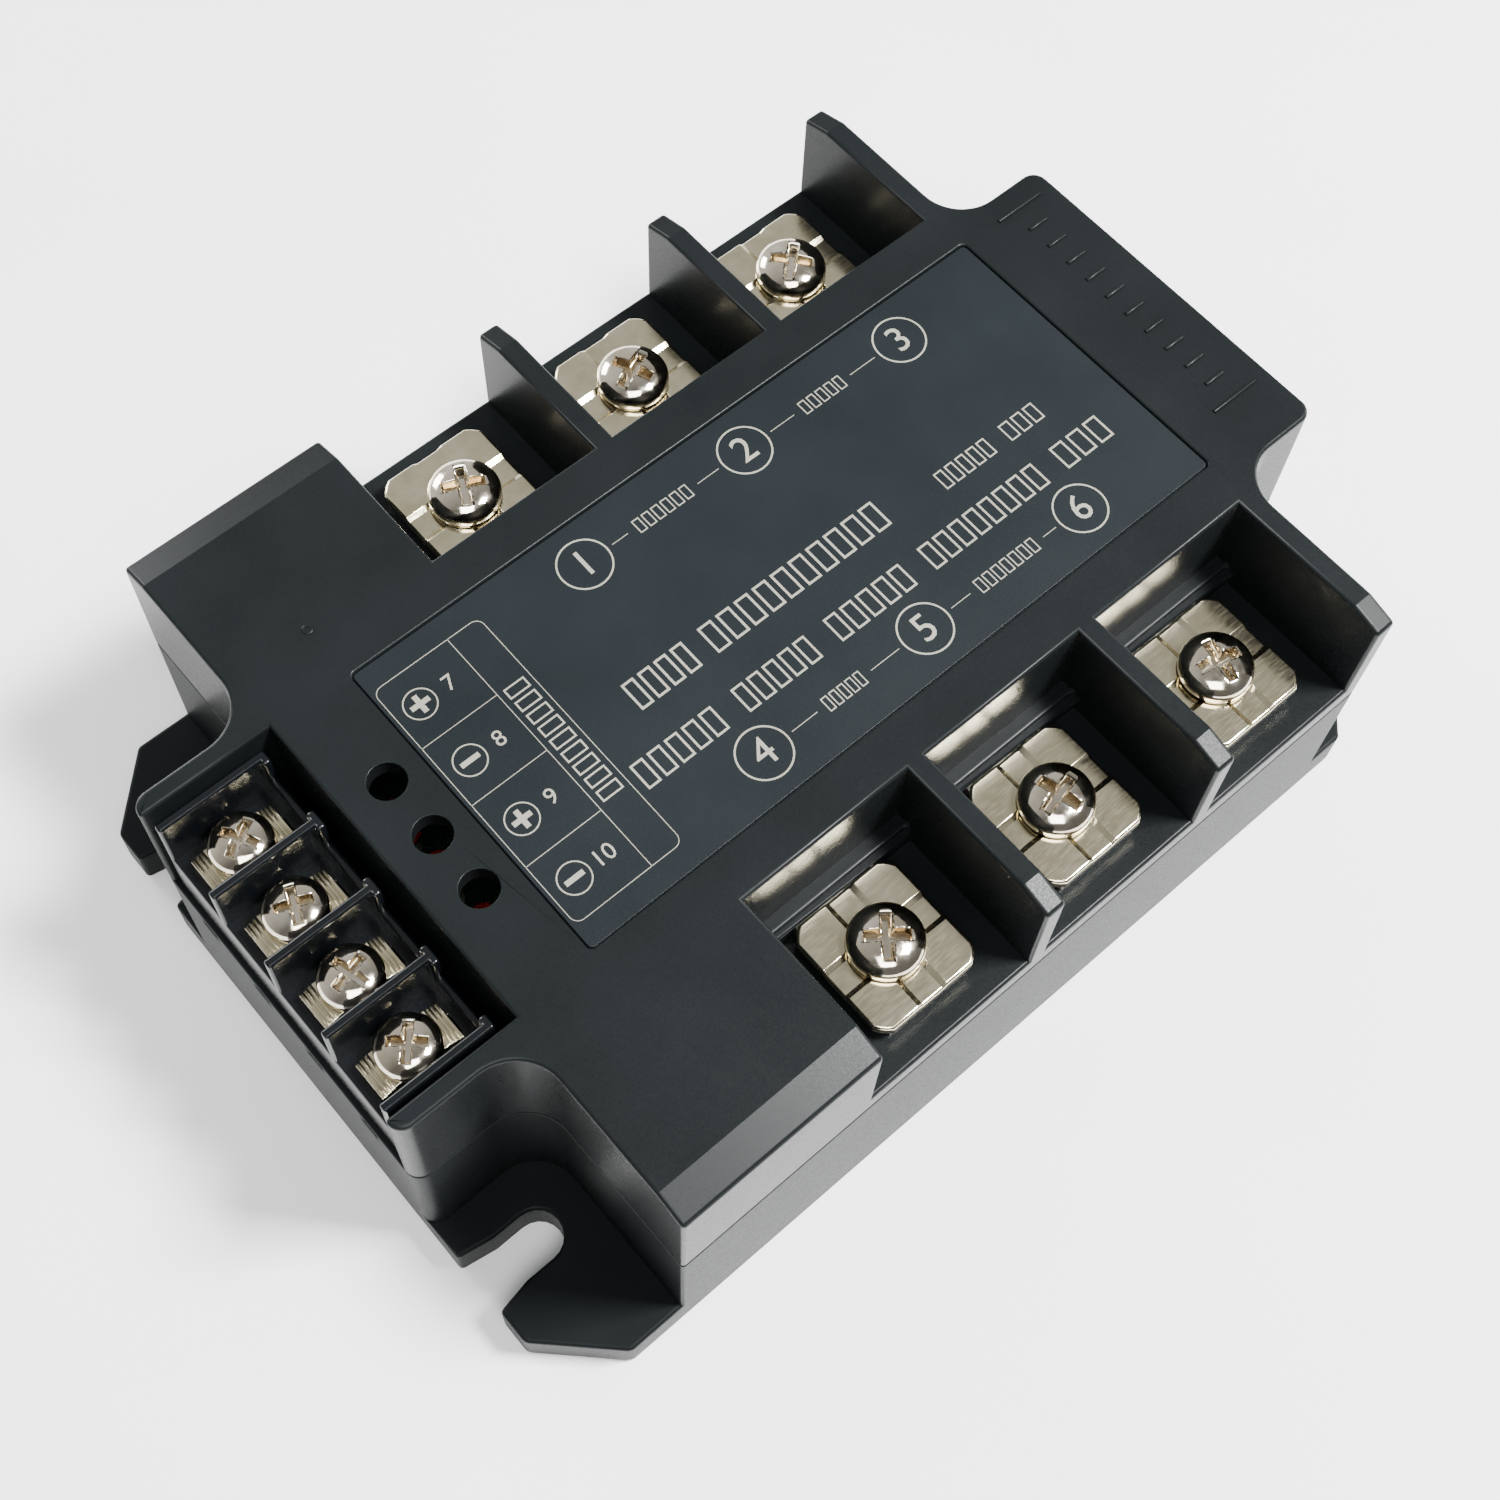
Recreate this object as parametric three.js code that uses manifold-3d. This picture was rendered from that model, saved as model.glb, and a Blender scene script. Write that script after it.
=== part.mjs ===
// A three-phase solid state relay that runs a motor forward and backward.
// Millimetres, +Z up. The origin is the middle of the underside, and +X runs from the control
// terminals to the plain end. The six power terminals stand in two rows, along -Y and +Y.
import * as THREE from "three";
import { mergeVertices } from "three/addons/utils/BufferGeometryUtils.js";
import Module from "manifold-3d";

const wasm = await Module();
wasm.setup();

// Control terminal block and the pocket it sits in
const controlPoles = 4;
const controlPitch = 7.75;
const controlDivider = 0.9;
const dividerLip = 2.0; // width of the small crosspiece at the inner end of a divider
const dividerLipThickness = 0.8;
const blockSideGap = 0.75;
const blockBackGap = 1.5;
const blockEndInset = 0.5; // the block stops this far short of the control end
const blockTopInset = 1.1; // divider tops below the top of the cover
const compartmentDepth = 6.1;
const backWallHeight = 2.7; // above the compartment floor
const plugSideInset = 0.55; // the plug under the block is this much narrower on each side
const plugWallGap = 0.3;
const pocketWall = 1.8;
const pocketLength = 12.9;

// Housing in plan: its length and width are the sums of what stands along them
const controlTongue = 12.3;
const frontDeck = 20.9;
const bayWidth = 18.2;
const bayDivider = 2.2;
const endWall = 2.3;
const plainTongue = 10.5;
const bayDepth = 17.1;
const spineLap = 2.4; // the spine between the bays is this much wider than the tongues, each side
const notchRadius = 4.5;
const tongueCorner = 1.5;

// Housing in height: the lower case, and the cover on top of it
const caseHeight = 20.2;
const coverHeight = 14.3;
const platformThickness = 2.6;
const wall = 2;
const roof = 2;
const spineWall = 1.9;
const sideBevelWidth = 3.2;
const sideBevelDrop = 0.95;
const bayLedgeWidth = 1.4;
const bayLedgeHeight = 2.4;
const bayStepWidth = 0.6; // a lower step in front of the ledge, over the bar
const bayStepHeight = 1.95;
const lipHeight = 1.4;
const lipThickness = 1;
const lipGap = 0.15;

// Feet and base plate
const footThickness = 5;
const footChamfer = 6.6;
const slotWidth = 4.8;
const slotMouth = 6.4;
const slotTaper = 3.5;
const slotReach = 6.5; // from the end of the foot to the middle of the slot's round end
const slotFromSide = 13.1; // from the side of the housing to the middle of the slot
const plateThickness = 3;
const plateProud = 0.2; // the plate stands this far below the plastic
const plateRim = 2;
const plateGap = 0.2;
const ledgeWidth = 1.5;

// Label and indicator lights
const labelFrontMargin = 8.6; // from the control shoulder
const labelEndMargin = 1.2; // from the plain shoulder
const labelSideMargin = 4.6; // from the bays
const labelCorner = 0.6;
const labelDepth = 0.5;
const labelThickness = 0.3;
const labelGap = 0.15;
const lightCount = 3;
const lightPitch = 6.25;
const lightFromPocket = 4.5;
const lightHole = 3.5;
const lightDiameter = 3;
const lightFlange = 3.6;
const lightFlangeThickness = 1;
const lightSteps = 16; // sides of the round lens
const lightTopInset = 5.5;
const lightBodyLength = 5.2;
const leadSize = 0.5;
const leadPitch = 2.54;

// Power terminals
const powerPoles = 3;
const barWidth = 9;
const barThickness = 1.2;
const barGap = 0.2;
const legGap = 0.9; // between a bar's leg and the spine wall
const barFoot = 4;
const linkHeight = 2.5; // the through bar's link runs this far above the ceramic
const clampSideInset = 2.7; // clamp behind the side of the housing
const clampLedgeGap = 0.8;
const barEndInset = 0.4; // bar end behind the clamp's outer edge
const powerClampWidth = 11.6;
const powerClampThickness = 1.3;
const powerClampCorner = 1.2;
const grooveWidth = 3.2;
const grooveDepth = 0.35;
const restGap = 0.05; // between pieces that are clamped together
const nutFlats = 7;
const nutThickness = 3.2;
const nutGap = 0.15;
const bossWall = 2;

// Screws: the thread is drawn as a plain cylinder at its core diameter
const powerScrew = { head: 7, headHeight: 2.3, core: 3.7, length: 10, hole: 4.5, recess: 4.4 };
const controlScrewSizes = { headHeight: 2, core: 2.7, length: 7, hole: 3.4, recess: 3.6 };
const recessWidth = 1;
const recessDepth = 1.2;
const headRimShare = 0.45; // of the head's height, straight up from its underside
const headBreak = [0.86, 0.7]; // where its rounding bends: share of its radius, share of the rest
const headFlatShare = 0.55; // of its radius
const screwTipGap = 1;

// Control terminals
const controlTerminalInset = 5.05; // screw behind the outer end of the block
const contactWidth = 3.5;
const controlClampSideGap = 0.525;
const controlClampLength = 8.2;
const controlClampMiddle = 5.8; // length of its wide middle, under the screw head
const controlTabWidth = 3.7;
const controlTabDrop = 0.25; // tabs below the top of the middle
const contactThickness = 0.8;
const pinWidth = 1.2;
const pinThickness = 0.7;
const pinTail = 0.8; // below the board
const pinGap = 0.2;
const controlClampThickness = 0.9;

// Inside
const ceramicThickness = 1;
const ceramicInset = 2; // inside the row of bays at its control end
const ceramicGap = 0.8; // to the case at its plain end
const padInset = 2.1; // inside the width of a bay, each side
const padFootGap = 0.9; // between a pad and the foot of a bar
const padMiddle = 3; // from the middle of the relay to a pad
const padThickness = 0.3;
const chipThickness = 0.4;
const chipGap = 1.5;
const boardThickness = 1.6;
const boardDrop = 3.2; // board top below the parting line
const boardEndInset = 4.2;
const boardLegGap = 1.4;
const postSize = 3;
const postFromEnd = 6.1;
const coupler = { length: 7.1, width: 6.5, height: 3.4, stand: 0.5, legReach: 0.7, leg: 0.5 };
const capacitor = { length: 7.2, width: 4.5, height: 8, stand: 0.6, lead: 0.6, leadPitch: 5 };
const innerCount = 4;
const innerPitch = 15;
const innerRow = 7.5; // couplers and capacitors stand this far each side of the middle
const windowWidth = 1.9;
const windowHeight = 1.3;
const lugReach = 0.9;
const lugGap = 0.25;

const arcSteps = 6;
const roundSteps = 20;
const margin = 1; // how far a cutting shape runs past the face it cuts

// Worked out from the sizes above
const height = caseHeight + coverHeight;
const blockWidth = controlPoles * controlPitch + controlDivider;
const tongueWidth = blockWidth + 2 * (blockSideGap + pocketWall);
const pocketWidth = blockWidth + 2 * blockSideGap;
const spineWidth = tongueWidth + 2 * spineLap;
const width = spineWidth + 2 * bayDepth;
const terminalPitch = bayWidth + bayDivider;
const bayRow = powerPoles * bayWidth + (powerPoles - 1) * bayDivider;
const length = controlTongue + frontDeck + bayRow + endWall + plainTongue;
const controlEndX = -length / 2;
const plainEndX = length / 2;
const controlShoulderX = controlEndX + controlTongue;
const plainShoulderX = plainEndX - plainTongue;
const pocketBackX = controlEndX + pocketLength;
const firstBayX = controlShoulderX + frontDeck + bayWidth / 2;
const throatRim = plateRim + ledgeWidth;
const platformZ = caseHeight + platformThickness;
const ceramicZ = plateThickness + restGap;
const ceramicTopZ = ceramicZ + ceramicThickness;
const boardTopZ = caseHeight - boardDrop;
const boardZ = boardTopZ - boardThickness;
const powerClampLength = bayDepth - clampSideInset - bayLedgeWidth - clampLedgeGap;
const terminalY = width / 2 - clampSideInset - powerClampLength / 2;
const legOuterY = spineWidth / 2 - spineWall - legGap;
const barFootY = legOuterY - barThickness - barFoot;
const barTopZ = platformZ + restGap + barThickness;
const powerClampZ = barTopZ + restGap;
const powerHeadZ = powerClampZ + powerClampThickness + restGap;
const compartmentWidth = controlPitch - controlDivider;
const controlClampWidth = compartmentWidth - 2 * controlClampSideGap;
const controlScrew = { ...controlScrewSizes, head: controlClampWidth };
const blockX0 = controlEndX + blockEndInset;
const blockX1 = pocketBackX - blockBackGap;
const controlX = blockX0 + controlTerminalInset;
const contactLength = controlClampLength;
const blockTopZ = height - blockTopInset;
const blockFloorZ = blockTopZ - compartmentDepth;
const contactZ = blockFloorZ + restGap;
const controlClampZ = contactZ + contactThickness + restGap;
const controlHeadZ = controlClampZ + controlClampThickness + restGap;
const pinX = controlX + contactLength / 2 - pinThickness / 2;
const plugX0 = controlEndX + wall + plugWallGap;
const plugZ = boardTopZ + restGap + plugWallGap;
const windowZ = (plugZ + caseHeight) / 2;

const powerX = (pole) => firstBayX + pole * terminalPitch;
const controlY = (pole) => ((controlPoles - 1) / 2 - pole) * controlPitch;
const innerX = (place) => powerX(1) + (place - (innerCount - 1) / 2) * innerPitch;

const finish = (color, roughness, metalness) =>
  new THREE.MeshStandardMaterial({ color, roughness, metalness });
const housingPlastic = finish(0x3a4145, 0.6, 0);
const blockPlastic = finish(0x24292c, 0.5, 0);
const labelFilm = finish(0x33393d, 0.7, 0);
const nickel = finish(0xc9c1ac, 0.3, 1);
const screwSteel = finish(0xd2cdc0, 0.25, 1);
const copper = finish(0xb87a4b, 0.35, 1);
const plateMetal = finish(0xb4b8ba, 0.4, 1);
const ceramicWhite = finish(0xe9e6dc, 0.5, 0);
const silicon = finish(0x5a6068, 0.3, 0.6);
const boardGreen = finish(0x1f5a3a, 0.5, 0);
const lensRed = finish(0xa81d18, 0.2, 0);
const darkResin = finish(0x17191b, 0.5, 0);
const capacitorYellow = finish(0xc8a23a, 0.5, 0);

// A three.js geometry as a solid that can be joined and cut.
function toSolid(geometry) {
  const bare = geometry.index ? geometry.toNonIndexed() : geometry.clone();
  bare.deleteAttribute("normal");
  bare.deleteAttribute("uv");
  const merged = mergeVertices(bare);
  const corners = [];
  const index = merged.index.array;
  for (let i = 0; i < index.length; i += 3) {
    const [a, b, c] = [index[i], index[i + 1], index[i + 2]];
    if (a !== b && b !== c && c !== a) corners.push(a, b, c); // a lathe's poles have empty triangles
  }
  return new wasm.Manifold(new wasm.Mesh({
    numProp: 3,
    vertProperties: new Float32Array(merged.attributes.position.array),
    triVerts: new Uint32Array(corners),
  }));
}

function toGeometry(solid) {
  const mesh = solid.getMesh();
  const indexed = new THREE.BufferGeometry();
  indexed.setAttribute("position", new THREE.BufferAttribute(mesh.vertProperties, 3));
  indexed.setIndex(new THREE.BufferAttribute(mesh.triVerts, 1));
  const geometry = indexed.toNonIndexed();
  geometry.computeVertexNormals();
  return geometry;
}

const join = (solids) => solids.reduce((whole, solid) => whole.add(solid));
const cut = (solid, cutters) => cutters.reduce((rest, cutter) => rest.subtract(cutter), solid);

// A block from its lowest to its highest corner.
function block([x0, y0, z0], [x1, y1, z1]) {
  const box = new THREE.BoxGeometry(x1 - x0, y1 - y0, z1 - z0);
  return toSolid(box.translate((x0 + x1) / 2, (y0 + y1) / 2, (z0 + z1) / 2));
}

// A block that stands on z0, centred on a point.
function standing([x, y], [sizeX, sizeY], z0, z1) {
  return block([x - sizeX / 2, y - sizeY / 2, z0], [x + sizeX / 2, y + sizeY / 2, z1]);
}

function prism(shape, z0, z1) {
  const options = { depth: z1 - z0, bevelEnabled: false, curveSegments: arcSteps };
  return toSolid(new THREE.ExtrudeGeometry(shape, options).translate(0, 0, z0));
}

// A section drawn in Y and Z, run along X.
function prismAlongX(shape, x0, x1) {
  const run = new THREE.ExtrudeGeometry(shape, { depth: x1 - x0, bevelEnabled: false });
  const turn = new THREE.Matrix4().makeBasis(
    new THREE.Vector3(0, 1, 0), new THREE.Vector3(0, 0, 1), new THREE.Vector3(1, 0, 0));
  return toSolid(run.applyMatrix4(turn).translate(x0, 0, 0));
}

// A profile of [radius, height] points from bottom to top, turned round the Z axis.
function turned(profile, [x, y], steps = roundSteps) {
  const points = profile.map(([r, z]) => new THREE.Vector2(r, z));
  const lathe = new THREE.LatheGeometry(points, steps);
  return toSolid(lathe.rotateX(Math.PI / 2).translate(x, y, 0));
}

function rod(diameter, place, z0, z1, steps = roundSteps) {
  const r = diameter / 2;
  return turned([[0, z0], [r, z0], [r, z1], [0, z1]], place, steps);
}

const outline = (points) => new THREE.Shape(points.map(([x, y]) => new THREE.Vector2(x, y)));

function roundedRectangle([x0, y0], [x1, y1], r) {
  const shape = new THREE.Shape();
  const quarter = Math.PI / 2;
  shape.moveTo(x0 + r, y0);
  shape.absarc(x1 - r, y0 + r, r, -quarter, 0);
  shape.absarc(x1 - r, y1 - r, r, 0, quarter);
  shape.absarc(x0 + r, y1 - r, r, quarter, 2 * quarter);
  shape.absarc(x0 + r, y0 + r, r, 2 * quarter, 3 * quarter);
  return shape;
}

function chamferedRectangle([x0, y0], [x1, y1], c) {
  return outline([
    [x0 + c, y0], [x1 - c, y0], [x1, y0 + c], [x1, y1 - c],
    [x1 - c, y1], [x0 + c, y1], [x0, y1 - c], [x0, y0 + c],
  ]);
}

// The housing seen from above: a wide body with a tongue at each end, and a round notch at each
// of the four corners. An inset draws the same line further in.
function housingOutline(inset = 0) {
  const [x0, x1] = [controlEndX + inset, controlShoulderX + inset];
  const [x2, x3] = [plainShoulderX - inset, plainEndX - inset];
  const tongueY = tongueWidth / 2 - inset;
  const sideY = width / 2 - inset;
  const corner = Math.max(tongueCorner - inset, lipGap);
  const notch = notchRadius + inset;
  const quarter = Math.PI / 2;
  const shape = new THREE.Shape();
  shape.moveTo(x3 - corner, -tongueY);
  shape.absarc(x3 - corner, -tongueY + corner, corner, -quarter, 0);
  shape.absarc(x3 - corner, tongueY - corner, corner, 0, quarter);
  shape.absarc(x2 + notch, tongueY + notch, notch, -quarter, -2 * quarter, true);
  shape.lineTo(x2, sideY);
  shape.lineTo(x1, sideY);
  shape.absarc(x1 - notch, tongueY + notch, notch, 0, -quarter, true);
  shape.absarc(x0 + corner, tongueY - corner, corner, quarter, 2 * quarter);
  shape.absarc(x0 + corner, -tongueY + corner, corner, 2 * quarter, 3 * quarter);
  shape.absarc(x1 - notch, -tongueY - notch, notch, quarter, 0, true);
  shape.lineTo(x1, -sideY);
  shape.lineTo(x2, -sideY);
  shape.absarc(x2 + notch, -tongueY - notch, notch, 2 * quarter, quarter, true);
  return shape;
}

// A mounting slot, open towards the end of its foot, where it flares.
function footSlot(endX, y) {
  const inward = -Math.sign(endX);
  const mouthX = endX - inward * margin;
  const taperX = endX + inward * slotTaper;
  const roundX = endX + inward * slotReach;
  const flare = outline([
    [mouthX, y - slotMouth / 2], [taperX, y - slotWidth / 2],
    [taperX, y + slotWidth / 2], [mouthX, y + slotMouth / 2],
  ]);
  const [low, high] = [-margin, footThickness + margin];
  const lane = block(
    [Math.min(taperX, roundX), y - slotWidth / 2, low],
    [Math.max(taperX, roundX), y + slotWidth / 2, high]);
  return join([prism(flare, low, high), lane, rod(slotWidth, [roundX, y], low, high)]);
}

function makeCase() {
  const foot = chamferedRectangle([controlEndX, -width / 2], [plainEndX, width / 2], footChamfer);
  const shell = join([
    prism(foot, plateProud, footThickness),
    prism(housingOutline(), plateProud, caseHeight),
  ]);
  const slotY = width / 2 - slotFromSide;
  const slots = [controlEndX, plainEndX].flatMap((x) => [footSlot(x, -slotY), footSlot(x, slotY)]);
  const rim = plateRim - plateGap;
  const plateSeat = block(
    [controlShoulderX + rim, -width / 2 + rim, -margin],
    [plainShoulderX - rim, width / 2 - rim, plateThickness]);
  const throat = block(
    [controlShoulderX + throatRim, -width / 2 + throatRim, 0],
    [plainShoulderX - throatRim, width / 2 - throatRim, footThickness + margin]);
  const room = prism(housingOutline(wall), footThickness, caseHeight + margin);
  const windows = [];
  for (let pole = 0; pole < controlPoles; pole += 1) {
    windows.push(block(
      [controlEndX - margin, controlY(pole) - windowWidth / 2, windowZ - windowHeight / 2],
      [controlEndX + wall + margin, controlY(pole) + windowWidth / 2, windowZ + windowHeight / 2]));
  }
  const posts = [];
  for (const x of [controlEndX + postFromEnd, plainEndX - postFromEnd]) {
    for (const y of [-controlPitch, controlPitch]) {
      posts.push(standing([x, y], [postSize, postSize], footThickness, boardZ - restGap));
    }
  }
  return join([cut(shell, [...slots, plateSeat, throat, room, ...windows]), ...posts]);
}

function makeBasePlate() {
  return block(
    [controlShoulderX + plateRim, -width / 2 + plateRim, 0],
    [plainShoulderX - plateRim, width / 2 - plateRim, plateThickness - restGap]);
}

// Everything about one power terminal that the cover has to make room for.
function coverTerminal(x, side) {
  const y = side * terminalY;
  const nutSize = nutFlats / Math.cos(Math.PI / 6) + 2 * nutGap;
  const nutFloorZ = platformZ - nutThickness - 2 * restGap;
  const tipZ = powerHeadZ - powerScrew.length - screwTipGap;
  const ledge = standing(
    [x, side * (spineWidth / 2 + bayLedgeWidth / 2)], [bayWidth, bayLedgeWidth],
    platformZ, platformZ + bayLedgeHeight);
  const boss = standing(
    [x, y], [nutSize + 2 * bossWall, nutSize + 2 * bossWall], tipZ - bossWall, caseHeight,
  ).intersect(prism(housingOutline(wall + lipGap), 0, height));
  const wallY = spineWidth / 2 - spineWall - margin;
  const barSlot = standing(
    [x, side * (wallY + width / 2) / 2], [barWidth + 2 * barGap, width / 2 - wallY],
    platformZ, barTopZ + barGap);
  const nutSeat = rod(nutSize, [x, y], nutFloorZ, platformZ + margin, 6);
  const tipHole = rod(powerScrew.hole, [x, y], tipZ, platformZ);
  const step = standing(
    [x, side * (spineWidth / 2 + (bayLedgeWidth + bayStepWidth) / 2)],
    [bayWidth, bayLedgeWidth + bayStepWidth], platformZ, platformZ + bayStepHeight);
  return { added: [ledge, step, boss], cutters: [barSlot, nutSeat, tipHole] };
}

function labelOutline(inset) {
  const y = spineWidth / 2 - labelSideMargin - inset;
  return roundedRectangle(
    [controlShoulderX + labelFrontMargin + inset, -y],
    [plainShoulderX - labelEndMargin - inset, y], labelCorner - inset);
}

function makeCover() {
  const shell = prism(housingOutline(), caseHeight, height);
  const lip = cut(
    prism(housingOutline(wall + lipGap), caseHeight - lipHeight, caseHeight + margin),
    [prism(housingOutline(wall + lipGap + lipThickness), 0, height)]);
  const bevels = [-1, 1].map((side) => prismAlongX(outline([
    [side * (width / 2 - sideBevelWidth), height],
    [side * (width / 2), height - sideBevelDrop],
    [side * (width / 2), height + margin],
    [side * (width / 2 - sideBevelWidth), height + margin],
  ]), controlEndX, plainEndX));
  const roomY = spineWidth / 2 - spineWall;
  const room = prism(housingOutline(wall), 0, height - roof).intersect(block(
    [pocketBackX + pocketWall, -roomY, 0], [plainEndX, roomY, height]));
  const pocket = block(
    [controlEndX - margin, -pocketWidth / 2, 0], [pocketBackX, pocketWidth / 2, height + margin]);
  const lightHoles = lightPlaces().map((place) => rod(lightHole, place, 0, height + margin));
  const label = prism(labelOutline(0), height - labelDepth, height + margin);
  const bays = [];
  const terminals = [];
  for (const side of [-1, 1]) {
    for (let pole = 0; pole < powerPoles; pole += 1) {
      const middle = side * (spineWidth / 2 + (bayDepth + margin) / 2);
      const size = [bayWidth, bayDepth + margin];
      bays.push(standing([powerX(pole), middle], size, platformZ, height + margin));
      terminals.push(coverTerminal(powerX(pole), side));
    }
  }
  const carved = cut(join([shell, lip]), [...bevels, ...bays]);
  const fitted = join([carved, ...terminals.flatMap((terminal) => terminal.added)]);
  const cutters = terminals.flatMap((terminal) => terminal.cutters);
  return cut(fitted, [room, pocket, label, ...lightHoles, ...cutters]);
}

const makeLabel = () => prism(
  labelOutline(labelGap), height - labelDepth + restGap, height - labelDepth + restGap + labelThickness);

function lightPlaces() {
  const places = [];
  for (let i = 0; i < lightCount; i += 1) {
    places.push([pocketBackX + lightFromPocket, ((lightCount - 1) / 2 - i) * lightPitch]);
  }
  return places;
}

function makeLight([x, y]) {
  const r = lightDiameter / 2;
  const topZ = height - lightTopInset;
  const bottomZ = topZ - lightBodyLength;
  const flangeZ = bottomZ + lightFlangeThickness;
  const dome = [];
  for (let i = 0; i <= arcSteps; i += 1) {
    const angle = (i / arcSteps) * Math.PI / 2;
    dome.push([i === arcSteps ? 0 : r * Math.cos(angle), topZ - r + r * Math.sin(angle)]);
  }
  const flangeR = lightFlange / 2;
  const lens = turned(
    [[0, bottomZ], [flangeR, bottomZ], [flangeR, flangeZ], [r, flangeZ], ...dome],
    [x, y], lightSteps);
  const leads = [-1, 1].map((side) => standing(
    [x + side * leadPitch / 2, y], [leadSize, leadSize], boardTopZ + restGap, flangeZ - leadSize));
  return join([lens, ...leads]);
}

// A strip from the screw, in through the spine wall, and down the inside of the cover.
function barHalf(x, side, footZ) {
  const innerY = legOuterY - barThickness;
  const outerY = width / 2 - clampSideInset - barEndInset;
  const strip = (y0, y1, z0, z1) =>
    standing([x, side * (y0 + y1) / 2], [barWidth, y1 - y0], z0, z1);
  const top = strip(innerY, outerY, barTopZ - barThickness, barTopZ);
  const hole = rod(powerScrew.hole, [x, side * terminalY], 0, height);
  return join([cut(top, [hole]), strip(innerY, legOuterY, footZ, barTopZ - barThickness / 2)]);
}

function makeBar(x, side) {
  const footZ = ceramicTopZ + restGap;
  const foot = standing(
    [x, side * (barFootY + legOuterY) / 2], [barWidth, legOuterY - barFootY],
    footZ, footZ + barThickness);
  return join([barHalf(x, side, footZ), foot]);
}

// The middle phase runs straight through, so its two terminals share one bar.
function makeThroughBar(x) {
  const linkZ = ceramicTopZ + linkHeight;
  const link = standing([x, 0], [barWidth, 2 * legOuterY], linkZ, linkZ + barThickness);
  return join([barHalf(x, -1, linkZ), link, barHalf(x, 1, linkZ)]);
}

function makeNut(x, y) {
  const topZ = platformZ - restGap;
  const body = rod(nutFlats / Math.cos(Math.PI / 6), [x, y], topZ - nutThickness, topZ, 6);
  return cut(body, [rod(powerScrew.hole, [x, y], 0, height)]);
}

// A pan head with a cross recess, on a plain shank.
function makeScrew(size, [x, y], headZ) {
  const r = size.head / 2;
  const edge = headZ + headRimShare * size.headHeight;
  const top = headZ + size.headHeight;
  const breakZ = edge + headBreak[1] * (top - edge);
  const core = size.core / 2;
  const tipZ = headZ - size.length;
  const body = turned([
    [0, tipZ], [core - recessWidth / 2, tipZ], [core, tipZ + recessWidth / 2], [core, headZ],
    [r, headZ], [r, edge], [headBreak[0] * r, breakZ], [headFlatShare * r, top], [0, top],
  ], [x, y]);
  const cross = join([
    standing([x, y], [size.recess, recessWidth], top - recessDepth, top + margin),
    standing([x, y], [recessWidth, size.recess], top - recessDepth, top + margin),
  ]);
  return cut(body, [cross]);
}

function makePowerClamp(x, y) {
  const [halfX, halfY] = [powerClampWidth / 2, powerClampLength / 2];
  const topZ = powerClampZ + powerClampThickness;
  const plate = prism(chamferedRectangle(
    [x - halfX, y - halfY], [x + halfX, y + halfY], powerClampCorner), powerClampZ, topZ);
  return cut(plate, [
    standing([x, y], [powerClampWidth + margin, grooveWidth], topZ - grooveDepth, topZ + margin),
    standing([x, y], [grooveWidth, powerClampLength + margin], topZ - grooveDepth, topZ + margin),
    rod(powerScrew.hole, [x, y], 0, height),
  ]);
}

function makeControlBlock() {
  const halfY = blockWidth / 2;
  const bodyZ = caseHeight + restGap;
  const body = block([blockX0, -halfY, bodyZ], [blockX1, halfY, blockFloorZ]);
  const plug = block(
    [plugX0, -halfY + plugSideInset, plugZ], [blockX1, halfY - plugSideInset, bodyZ + margin]);
  const lipX = blockX1 - dividerLipThickness;
  const backWall = block(
    [lipX, -halfY, blockFloorZ - margin], [blockX1, halfY, blockFloorZ + backWallHeight]);
  const parts = [body, plug, backWall];
  for (let i = 0; i <= controlPoles; i += 1) {
    const y = (i - controlPoles / 2) * controlPitch;
    const lipY0 = Math.max(y - dividerLip / 2, -halfY);
    const lipY1 = Math.min(y + dividerLip / 2, halfY);
    parts.push(block(
      [blockX0, y - controlDivider / 2, blockFloorZ - margin],
      [blockX1, y + controlDivider / 2, blockTopZ]));
    parts.push(block([lipX, lipY0, blockFloorZ - margin], [blockX1, lipY1, blockTopZ]));
  }
  const cutters = [];
  for (let pole = 0; pole < controlPoles; pole += 1) {
    const y = controlY(pole);
    const tipZ = controlHeadZ - controlScrew.length - screwTipGap;
    cutters.push(rod(controlScrew.hole, [controlX, y], tipZ, height));
    cutters.push(standing(
      [pinX, y], [pinThickness + 2 * pinGap, pinWidth + 2 * pinGap], 0, height));
    const lugWidth = windowWidth - 2 * lugGap;
    const lugHeight = windowHeight - 2 * lugGap;
    parts.push(block(
      [plugX0 - lugReach, y - lugWidth / 2, windowZ - lugHeight / 2],
      [plugX0 + margin, y + lugWidth / 2, windowZ + lugHeight / 2]));
  }
  return cut(join(parts), cutters);
}

function makeContact(y) {
  const topZ = contactZ + contactThickness;
  const plate = standing([controlX, y], [contactLength, contactWidth], contactZ, topZ);
  const pin = standing([pinX, y], [pinThickness, pinWidth], boardZ - pinTail, topZ - restGap);
  return cut(join([plate, pin]), [rod(controlScrew.hole, [controlX, y], blockFloorZ, height)]);
}

function makeControlClamp(y) {
  const topZ = controlClampZ + controlClampThickness;
  const middle = standing(
    [controlX, y], [controlClampMiddle, controlClampWidth], controlClampZ, topZ);
  const tabs = standing(
    [controlX, y], [controlClampLength, controlTabWidth], controlClampZ, topZ - controlTabDrop);
  return cut(join([middle, tabs]), [rod(controlScrew.hole, [controlX, y], 0, height)]);
}

function makeCeramic() {
  const y = spineWidth / 2 - spineWall;
  return block(
    [powerX(0) - bayWidth / 2 + ceramicInset, -y, ceramicZ],
    [plainShoulderX - throatRim - ceramicGap, y, ceramicTopZ]);
}

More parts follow.
